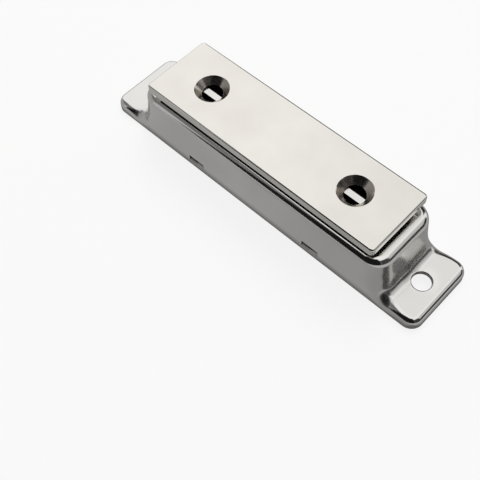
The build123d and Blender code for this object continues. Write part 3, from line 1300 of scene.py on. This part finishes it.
@dataclass
class StrikePlate:
    """The loose strike plate: flat plated steel, tumbled edges and two countersunk holes.

    Attributes:
        corner: radius of its corners in plan, mm.
        edge: radius of its upper edge, mm.
        lower_edge: radius of its lower edge, and how far up the underside's painted shade reaches,
            mm.
        mouth_edge: width of the broken edge round each countersink, mm.
        sink_radius: radius of the countersink's mouth, mm.
        mouth_lean: how much steeper the normal stands at the broken edge's upper side.
        steps: sides of each round hole.
        bend_steps: points along each rounded corner or edge.
        touch: distance within which a place lies on the flat faces, mm.
        below: how far under the countersink's foot a face is in the straight hole, mm.
        weld: corners closer than this are one, mm.
    """

    corner: float = 0.9
    edge: float = 0.5
    lower_edge: float = 0.25
    mouth_edge: float = 0.08
    sink_radius: float = 3.75
    mouth_lean: float = 3.0
    steps: int = 96
    bend_steps: int = 10
    touch: float = 1e-4
    below: float = 0.01
    weld: float = 0.001

    def __post_init__(self) -> None:
        """Take the sizes that the frame holds."""
        low, high = node_sizes("strike_plate")
        self.length, self.width, self.thickness = (high - low).tolist()
        self.top, self.bottom = float(high[2]), float(high[2]) - self.thickness
        screws = mount_dims("strike_screws")
        self.hole_x = screws["spacing_x_mm"] / 2
        self.hole_radius = screws["hole_r_mm"]
        self.land = self.top - (self.sink_radius - self.hole_radius)

    def build(self) -> bpy.types.Object:
        """Build and dress the strike plate.

        Returns:
            The finished piece.
        """
        recipe = Recipe("strike_plate_recipe")
        edge, slack, length, width, corner, thickness, top, black = recipe.sizes(
            {
                "Edge radius": self.edge,
                "Lower edge radius": self.lower_edge,
                "Length": self.length,
                "Width": self.width,
                "Corner radius": self.corner,
                "Thickness": self.thickness,
                "Top": self.top,
                "Blacked height": self.lower_edge,
            }
        )
        hole_x, hole, sink, mouth = recipe.sizes(
            {
                "Hole distance": self.hole_x,
                "Hole radius": self.hole_radius,
                "Countersink radius": self.sink_radius,
                "Mouth edge": self.mouth_edge,
            }
        )
        bottom, shoulder = recipe.offset(top, thickness, -1.0), recipe.offset(top, edge, -1.0)
        core = {
            "Width": recipe.offset(length, edge, -2.0),
            "Height": recipe.offset(width, edge, -2.0),
        }
        inner = recipe.add("GeometryNodeCurvePrimitiveQuadrilateral", named=core)
        outline = self.rounded(recipe, inner, recipe.offset(corner, edge, -1.0))
        row = {
            "Count": 2,
            "Start Location": recipe.add(COMBINE, recipe.offset(0.0, hole_x, -1.0), 0.0, 0.0),
            "Offset": recipe.add(COMBINE, hole_x, 0.0, 0.0),
        }
        pair = recipe.add("GeometryNodeMeshLine", named=row, mode="END_POINTS")

        def face(radius: Socket, height: Socket) -> Socket:
            """One flat side of the plate, with its two round openings.

            Args:
                radius: radius of the openings.
                height: level of the side.

            Returns:
                The side.
            """
            round_hole = {"Resolution": self.steps, "Radius": radius}
            circle = recipe.add("GeometryNodeCurvePrimitiveCircle", named=round_hole)
            loops = recipe.add("GeometryNodeJoinGeometry", [outline, recipe.copies(pair, circle)])
            return recipe.lift(recipe.add("GeometryNodeFillCurve", loops), height)

        def wall(upper: Socket, lower: Socket, height: Socket, foot: Socket) -> Socket:
            """Wall of both openings, from one radius and level to another.

            Args:
                upper: radius at its upper end.
                lower: radius at its lower end.
                height: level of its upper end.
                foot: level of its lower end.

            Returns:
                The wall.
            """
            cone = {
                "Vertices": self.steps,
                "Radius Top": upper,
                "Radius Bottom": lower,
                "Depth": recipe.offset(height, foot, -1.0),
            }
            made = recipe.add("GeometryNodeMeshCone", named=cone, fill_type="NONE")
            return recipe.lift(recipe.copies(pair, made), foot)

        wide, narrow = recipe.offset(sink, mouth), recipe.offset(sink, mouth, -1.0)
        lip = recipe.offset(top, mouth, -1.0)
        land = recipe.offset(top, recipe.offset(sink, hole, -1.0), -1.0)
        flag = {"Geometry": wall(narrow, hole, lip, land), "Name": "sunk", "Value": True}
        kinds = {"data_type": "BOOLEAN", "domain": "FACE"}
        parts = [
            face(wide, top),
            face(hole, bottom),
            wall(wide, narrow, top, lip),
            recipe.add("GeometryNodeStoreNamedAttribute", named=flag, **kinds),
            wall(hole, hole, land, bottom),
            recipe.lift(self.side(recipe, outline, edge, slack, thickness), shoulder),
        ]
        shells = recipe.add("GeometryNodeJoinGeometry", parts)
        joined = {"Geometry": shells, "Distance": self.weld * MM}
        whole = recipe.add("GeometryNodeMergeByDistance", named=joined)
        name = {"Name": "sunk"}
        sunk = recipe.add("GeometryNodeInputNamedAttribute", named=name, data_type="BOOLEAN")
        height = recipe.add(SEPARATE, recipe.add("GeometryNodeInputPosition"), output=2)
        # faces lower than this take the underside's painted shade
        low = recipe.add(MATH, height, recipe.offset(bottom, black), operation="LESS_THAN")
        finishes = {
            SATIN_NICKEL.material(): None,
            TURNED_SINK.material(): sunk,
            UNDERSIDE_SHADE.material(): low,
        }
        piece = recipe.make("tumbled_strike_plate", whole, finishes)
        piece.data.attributes.remove(piece.data.attributes["sunk"])
        face_outward(piece.data, self.normal)
        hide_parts("strike_plate")
        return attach(piece, "strike")

    def rounded(self, recipe: Recipe, curve: Socket, radius: Socket) -> Socket:
        """A curve with its corners rounded."""
        inputs = {"Curve": curve, "Count": self.bend_steps, "Radius": radius, "Limit Radius": True}
        return recipe.add("GeometryNodeFilletCurve", named=inputs, mode="POLY")

    def side(
        self, recipe: Recipe, outline: Socket, edge: Socket, slack: Socket, thickness: Socket
    ) -> Socket:
        """Sweep the plate's side, with its two rounded edges, along the outline.

        Args:
            recipe: tree under construction.
            outline: outline drawn in by the upper edge's radius.
            edge: radius of the upper edge.
            slack: radius of the lower edge.
            thickness: thickness of the plate.

        Returns:
            The side, with the upper edge's centre at height zero.
        """
        head, foot = recipe.offset(0.0, edge, -1.0), recipe.offset(thickness, edge, -1.0)
        corners = [(0.0, head), (edge, head), (edge, foot), (0.0, foot)]
        points = {f"Point {k}": recipe.add(COMBINE, x, y) for k, (x, y) in enumerate(corners, 1)}
        box = recipe.add("GeometryNodeCurvePrimitiveQuadrilateral", named=points, mode="POINTS")
        open_ends = {"Geometry": box, "Cyclic": False}
        open_box = recipe.add("GeometryNodeSetSplineCyclic", named=open_ends)
        between = 1.5  # corners 0 and 1 of the box are the upper ones
        index = recipe.add("GeometryNodeInputIndex")
        upper = recipe.add(MATH, index, between, operation="LESS_THAN")
        radius = recipe.offset(slack, recipe.offset(edge, slack, -1.0), upper)
        path = recipe.add("GeometryNodeSetCurveNormal", outline, mode="Z_UP")
        sweep = {"Curve": path, "Profile Curve": self.rounded(recipe, open_box, radius)}
        return recipe.add("GeometryNodeCurveToMesh", named=sweep)

    def normal(self, place: Array, middle: Array) -> Array:
        """True normal of the plate's surface.

        Args:
            place: point on the surface, mm.
            middle: middle of the face it is asked for, which tells the surfaces apart, mm.

        Returns:
            Unit normal, pointing out of the steel.
        """
        hole = np.array((math.copysign(self.hole_x, middle[0]), 0.0))
        away = math.hypot(*(middle[:2] - hole))
        if away < self.sink_radius + self.mouth_edge:
            ray = (place[:2] - hole) / math.hypot(*(place[:2] - hole))
            if middle[2] < self.land - self.below:
                slope = 0.0
            elif middle[2] > self.top - self.mouth_edge:
                slope = 1.0 + self.mouth_lean * (1 - (self.top - place[2]) / self.mouth_edge)
            else:
                slope = 1.0
            found = np.array((-ray[0], -ray[1], slope))
        elif middle[2] > self.top - self.touch:
            found = UP.copy()
        elif middle[2] < self.bottom + self.touch:
            found = -UP
        else:
            core = np.array((self.length, self.width)) / 2 - self.corner
            out = place[:2] - np.clip(place[:2], -core, core)
            far = math.hypot(*out)
            upper = middle[2] > (self.top + self.bottom) / 2
            radius = self.edge if upper else self.lower_edge
            height = place[2] - (self.top - radius if upper else self.bottom + radius)
            height = max(height, 0.0) if upper else min(height, 0.0)
            found = np.array((*(out / far * (far - self.corner + radius)), height))
        return found / np.linalg.norm(found)


@dataclass
class MagnetPack:
    """Three pole plates with ground tips, and the ferrite blocks between them.

    Attributes:
        shoulder: height of the pole plates' shoulders, mm.
        nose_length: length of the tips, mm.
        broken_edge: width of the plates' broken edges, mm.
        block_edge: width of the blocks' broken edges, mm.
    """

    shoulder: float = 11.6
    nose_length: float = 57.8
    broken_edge: float = 0.12
    block_edge: float = 0.3

    def __post_init__(self) -> None:
        """Take the sizes that the frame holds."""
        low, high = node_sizes("pole_plate_centre")
        self.plate = (high - low).tolist()
        self.foot, self.tip = float(low[2]), float(high[2])
        self.pitch = float(node_sizes("pole_plate_far")[1][1] - high[1])
        low, high = node_sizes("magnet_far_right")
        self.block = (high - low).tolist()

    def poles(self) -> bpy.types.Object:
        """Build the pole plates.

        Returns:
            The three plates, in one mesh.
        """
        recipe = Recipe("pole_plate_recipe")
        length, thick, foot, shoulder, nose, tip, pitch = recipe.sizes(
            {
                "Length": self.plate[0],
                "Thickness": self.plate[1],
                "Foot": self.foot,
                "Shoulder": self.shoulder,
                "Nose length": self.nose_length,
                "Tip": self.tip,
                "Spacing": self.pitch,
            }
        )
        body = recipe.bar(length, thick, recipe.offset(shoulder, foot, -1.0), foot)
        facing = recipe.add(SEPARATE, recipe.add("GeometryNodeInputNormal"), output=2)
        level = 0.9  # a face whose normal has at least this share upwards is level
        upper = recipe.add(MATH, facing, level, operation="GREATER_THAN")
        still = {"Mesh": body, "Selection": upper, "Offset Scale": 0.0}
        shelf = recipe.add("GeometryNodeExtrudeMesh", named=still, mode="FACES")
        chosen = shelf.node.outputs["Top"]
        nose_share = recipe.add(MATH, nose, length, operation="DIVIDE")
        share = {"Scale": nose_share, "Axis": (1.0, 0.0, 0.0)}
        narrow = {"Geometry": shelf, "Selection": chosen, **share}
        narrowed = recipe.add("GeometryNodeScaleElements", named=narrow, scale_mode="SINGLE_AXIS")
        up = recipe.offset(tip, shoulder, -1.0)
        rise = {"Mesh": narrowed, "Selection": chosen, "Offset Scale": up}
        plate = recipe.add("GeometryNodeExtrudeMesh", named=rise, mode="FACES")
        row = {
            "Count": 3,
            "Start Location": recipe.add(COMBINE, 0.0, recipe.offset(0.0, pitch, -1.0)),
            "Offset": recipe.add(COMBINE, 0.0, pitch),
        }
        places = recipe.add("GeometryNodeMeshLine", named=row)
        # the flanks take the painted shade, the tips their plated finish
        finishes = {POLE_FLANK_SHADE.material(): None, GROUND_TIP.material(): upper}
        piece = recipe.make("pole_plates", recipe.copies(places, plate), finishes)
        break_edges(piece, self.broken_edge)
        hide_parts("pole_plate_near", "pole_plate_centre", "pole_plate_far")
        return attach(piece, "catch")

    def blocks(self) -> bpy.types.Object:
        """Build the ferrite blocks.

        Returns:
            The four blocks, in one mesh.
        """
        recipe = Recipe("ferrite_block_recipe")
        length, thick, height, foot, pitch = recipe.sizes(
            {
                "Length": self.block[0],
                "Thickness": self.block[1],
                "Height": self.block[2],
                "Foot": self.foot,
                "Spacing": self.pitch,
            }
        )
        corners = {"Size X": length, "Size Y": pitch, "Vertices X": 2, "Vertices Y": 2}
        places = recipe.add("GeometryNodeMeshGrid", named=corners)
        block = recipe.bar(length, thick, height, foot)
        finishes = {FERRITE.material(): None}
        piece = recipe.make("ferrite_blocks", recipe.copies(places, block), finishes)
        break_edges(piece, self.block_edge)
        names = [f"magnet_{side}_{end}" for side in ("near", "far") for end in ("left", "right")]
        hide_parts(*names)
        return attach(piece, "catch")


@dataclass
class RetainingPlate:
    """The moulded plate under the magnets, whose shape the frame already has."""

    node: str = "retaining_plate"

    def dress(self) -> bpy.types.Object:
        """Give the frame's own plate its moulded finish.

        Returns:
            The plate.
        """
        plate = bpy.data.objects[self.node]
        moulded = MOULDED_POLYAMIDE.material()
        for slot in plate.material_slots:
            slot.material = moulded
        return plate


# ---- Studio ----


def toward(azimuth: float, elevation: float) -> Vector:
    """Unit direction from the object, with azimuth 0 on the near side and 90 at the right."""
    a, e = math.radians(azimuth), math.radians(elevation)
    return Vector((math.sin(a) * math.cos(e), -math.cos(a) * math.cos(e), math.sin(e)))


def board(name: str, half: float, height: float, made: bpy.types.Material) -> bpy.types.Object:
    """Square board that lies level round the object.

    Args:
        name: name of the board.
        half: half of its side, mm.
        height: its level, mm.
        made: its material.

    Returns:
        The board.
    """
    draft = Draft()
    corners = [(-half, -half), (half, -half), (half, half), (-half, half)]
    draft.flat([np.array([(x, y, height) for x, y in corners])], UP)
    return draft.build(name, [made])


@dataclass(frozen=True)
class Panel:
    """One patch of the tent's wall that is brighter or darker than the rest.

    Attributes:
        azimuth: direction of its middle, degrees.
        elevation: height of its middle above the horizon, degrees.
        width: its width, degrees.
        height: its height, degrees.
        soft: width of its blurred border, degrees.
        glow: its radiance, where 1 shows white.
    """

    azimuth: float
    elevation: float
    width: float
    height: float
    soft: float
    glow: float

    def paint(self, wires: Wiring, way: Socket, under: Any) -> Socket:
        """Lay the patch over the tent's radiance.

        Args:
            wires: the world's tree.
            way: direction looked at.
            under: radiance so far, a number or a socket.

        Returns:
            The new radiance.
        """
        across, ahead, up = (
            wires.add(VECTOR_MATH, way, axis, output="Value", operation="DOT_PRODUCT")
            for axis in (toward(self.azimuth + 90, 0), toward(self.azimuth, 0), Vector(UP))
        )
        height = wires.add(MATH, up, operation="ARCSINE")
        middle = math.radians(self.elevation)
        masks = []
        for angle, size in (
            (wires.add(MATH, across, ahead, operation="ARCTAN2"), self.width),
            (wires.add(MATH, height, middle, operation="SUBTRACT"), self.height),
        ):
            away = wires.add(MATH, angle, operation="ABSOLUTE")
            edge, blur = math.radians(size / 2), math.radians(self.soft / 2)
            masks.append(wires.add(MAP_RANGE, away, edge - blur, edge + blur, 1.0, 0.0, **SMOOTH))
        share = wires.add(MATH, *masks, operation="MULTIPLY")
        return wires.add(MIX, share, named={"A": under, "B": self.glow}, data_type="FLOAT")


@dataclass(frozen=True)
class Sheet:
    """A glowing grey sheet round the object, lit by no lamp and mirrored only by metal: a painted
    reflection of shaded surroundings, with a painted shadow at the catch's foot, that gives the
    metal walls their tone.

    Attributes:
        name: name of the sheet.
        glow: its radiance, where 1 shows white.
        half: half of its side, mm.
        height: its level above the floor, mm.
        foot: half length and half width of the catch that shades it, mm.
        shade: share of its radiance left at the catch's foot, where the shadow is painted.
        reach: distance over which the painted shadow fades, mm.
        slope: its brightness at the left and the right end of the catch, a painted gradient of
            light along it.
        far_end: how much brighter its painted light is past the right end, and by what share of the
            half length.
        cloud: width of its clouds, mm.
        unevenness: how much the clouds lighten and darken it.
        levels: levels of the noise at which it is darkest and lightest.
    """

    name: str = "grey_sheet"
    glow: float = 0.34
    half: float = 400.0
    height: float = 0.02
    foot: tuple[float, float] = (43.0, 9.1)
    shade: float = 0.45
    reach: float = 1.2
    slope: tuple[float, float] = (1.12, 0.9)
    far_end: tuple[float, float] = (1.65, 1.2)
    cloud: float = 20.0
    unevenness: float = 0.07
    levels: tuple[float, float] = (0.3, 0.7)

    def tone(self, wires: Wiring) -> Socket:
        """Radiance over the sheet: uneven clouds, a painted gradient of light along the catch and a
        painted shadow close to it.

        Args:
            wires: the sheet's tree.

        Returns:
            The radiance.
        """
        place = wires.add("ShaderNodeTexCoord", output="Object")
        off = wires.add(VECTOR_MATH, place, operation="ABSOLUTE")
        core = (self.foot[0] * MM, self.foot[1] * MM, 1.0)
        for operation, other in (("SUBTRACT", core), ("MAXIMUM", (0.0, 0.0, 0.0))):
            off = wires.add(VECTOR_MATH, off, other, operation=operation)
        far = wires.add(VECTOR_MATH, off, output="Value", operation="LENGTH")
        along = wires.add(SEPARATE, place)
        past = self.foot[0] * MM
        brighter, share = self.far_end
        dark, light = ((1 + sign * self.unevenness) * self.glow for sign in (-1, 1))
        noise = clouds(wires, place, (1 / self.cloud,) * 3, detail=1.0)
        painted_tone = wires.add(MAP_RANGE, far, 0.0, self.reach * MM, self.shade, 1.0, **SMOOTH)
        for value, *ends in (
            (noise, *self.levels, dark, light),
            (along, -past, past, *self.slope),
            (along, past, share * past, 1.0, brighter),
        ):
            painted_tone = wires.add(
                MATH, painted_tone, wires.add(MAP_RANGE, value, *ends, **SMOOTH), operation="MULTIPLY"
            )
        return painted_tone

    def lay(self) -> None:
        """Lay the sheet just above the floor."""
        # the sheet's material glows with painted reflection and painted shadow; no lamp lights it
        made = bpy.data.materials.new(self.name + "_paper")
        wires = Wiring(made)
        painted_reflection = wires.add("ShaderNodeEmission", named={"Strength": self.tone(wires)})
        wires.add("ShaderNodeOutputMaterial", painted_reflection)
        sheet = board(self.name, self.half, self.height, made)
        for ray in ("camera", "diffuse", "shadow", "transmission", "volume_scatter"):
            setattr(sheet, f"visible_{ray}", False)


@dataclass
class Studio:
    """Pale floor, white tent, key light, the glowing grey sheet of painted reflection and shadow,
    and the camera.

    Attributes:
        panels: patches of the tent, in the order that they are laid over one another.
        tent_glow: radiance of the rest of the tent, where 1 shows white.
        floor_half: half of the floor's side, mm.
        key_way: azimuth and elevation of the key light, degrees.
        key_size: side of the key light, mm.
        key_distance: its distance from the object, mm.
        key_share: share of the white level that it gives a level surface.
        aim: point that the camera looks at, mm.
        azimuth: the camera's direction from there, degrees.
        elevation: the camera's height above the horizon, degrees.
        roll: turn of the camera about its own axis, degrees.
        distance: distance of the camera from its aim, mm.
        lens: focal length, mm.
        clip: nearest and farthest distance that the camera sees, m.
    """

    panels: tuple[Panel, ...] = (
        Panel(azimuth=-162, elevation=56, width=30, height=24, soft=20, glow=0.9),
        Panel(azimuth=-60, elevation=6, width=56, height=44, soft=10, glow=0.35),
        Panel(azimuth=128, elevation=38, width=56, height=34, soft=10, glow=0.6),
        Panel(azimuth=124, elevation=12, width=64, height=30, soft=8, glow=0.03),
        Panel(azimuth=-58, elevation=43, width=54, height=30, soft=4, glow=0.18),
        Panel(azimuth=86, elevation=26, width=46, height=62, soft=8, glow=0.05),
        Panel(azimuth=16.5, elevation=36, width=95, height=80, soft=4, glow=0.01),
        Panel(azimuth=-168, elevation=14, width=44, height=52, soft=6, glow=0.03),
    )
    tent_glow: float = 1.0
    floor_half: float = 900.0
    key_way: tuple[float, float] = (-155.0, 58.0)
    key_size: float = 300.0
    key_distance: float = 600.0
    key_share: float = 0.3
    aim: tuple[float, float, float] = (3.47, -16.24, 0.0)
    azimuth: float = 46.11
    elevation: float = 58.66
    roll: float = -3.13
    distance: float = 170.05
    lens: float = 60.97
    clip: tuple[float, float] = (0.005, 10.0)

    def build(self) -> None:
        """Set up the whole studio."""
        board("floor", self.floor_half, 0.0, PALE_FLOOR.material())
        # a glowing sheet that paints shaded surroundings and the catch's shadow into the metal's
        # reflections
        Sheet().lay()
        self.tent()
        self.key()
        self.place_camera()
        bpy.context.scene.view_settings.view_transform = "Standard"

    def place_camera(self) -> None:
        """Put the camera at its angle over the right-hand end of the near side."""
        data = bpy.data.cameras.new("camera")
        data.lens = self.lens
        data.clip_start, data.clip_end = self.clip
        camera = in_scene("camera", data)
        back = toward(self.azimuth, self.elevation)
        camera.location = (Vector(self.aim) + back * self.distance) * MM
        turn = (-back).to_track_quat("-Z", "Y").to_matrix()
        spin = Matrix.Rotation(math.radians(self.roll), 3, "Z")
        camera.rotation_euler = (turn @ spin).to_euler()
        bpy.context.scene.camera = camera

    def tent(self) -> None:
        """Stand the object in a tent: the camera sees it white, metal mirrors its panels."""
        world = bpy.data.worlds.new("light_tent")
        wires = Wiring(world)
        way = wires.add("ShaderNodeTexCoord", output="Generated")
        glow: Any = self.tent_glow
        for panel in self.panels:
            glow = panel.paint(wires, way, glow)
        seen = wires.add("ShaderNodeLightPath", output="Is Camera Ray")
        shown = wires.add(MIX, seen, named={"A": glow, "B": self.tent_glow}, data_type="FLOAT")
        back = wires.add("ShaderNodeBackground", shown, 1.0)
        wires.add("ShaderNodeOutputWorld", back)
        bpy.context.scene.world = world

    def key(self) -> None:
        """Hang the key light, whose face no metal mirrors."""
        data = bpy.data.lights.new("key", "AREA")
        data.shape = "SQUARE"
        data.size = self.key_size * MM
        reach = (self.key_size / self.key_distance) ** 2 * math.sin(math.radians(self.key_way[1]))
        data.energy = self.key_share * math.pi / reach * math.pi * data.size**2
        lamp = in_scene("key", data)
        way = toward(*self.key_way)
        lamp.location = way * self.key_distance * MM
        lamp.rotation_euler = way.to_track_quat("Z", "Y").to_euler()
        lamp.visible_glossy = False


def main() -> None:
    """Build every piece in order and report it."""
    logging.basicConfig(level=logging.INFO)
    pack = MagnetPack()
    makers = (
        DrawnHousing().build,
        StrikePlate().build,
        pack.poles,
        pack.blocks,
        RetainingPlate().dress,
    )
    for maker in makers:
        piece = maker()
        LOG.info("%s: %d faces", piece.name, len(piece.data.polygons))
    Studio().build()


if __name__ == "__main__":
    main()
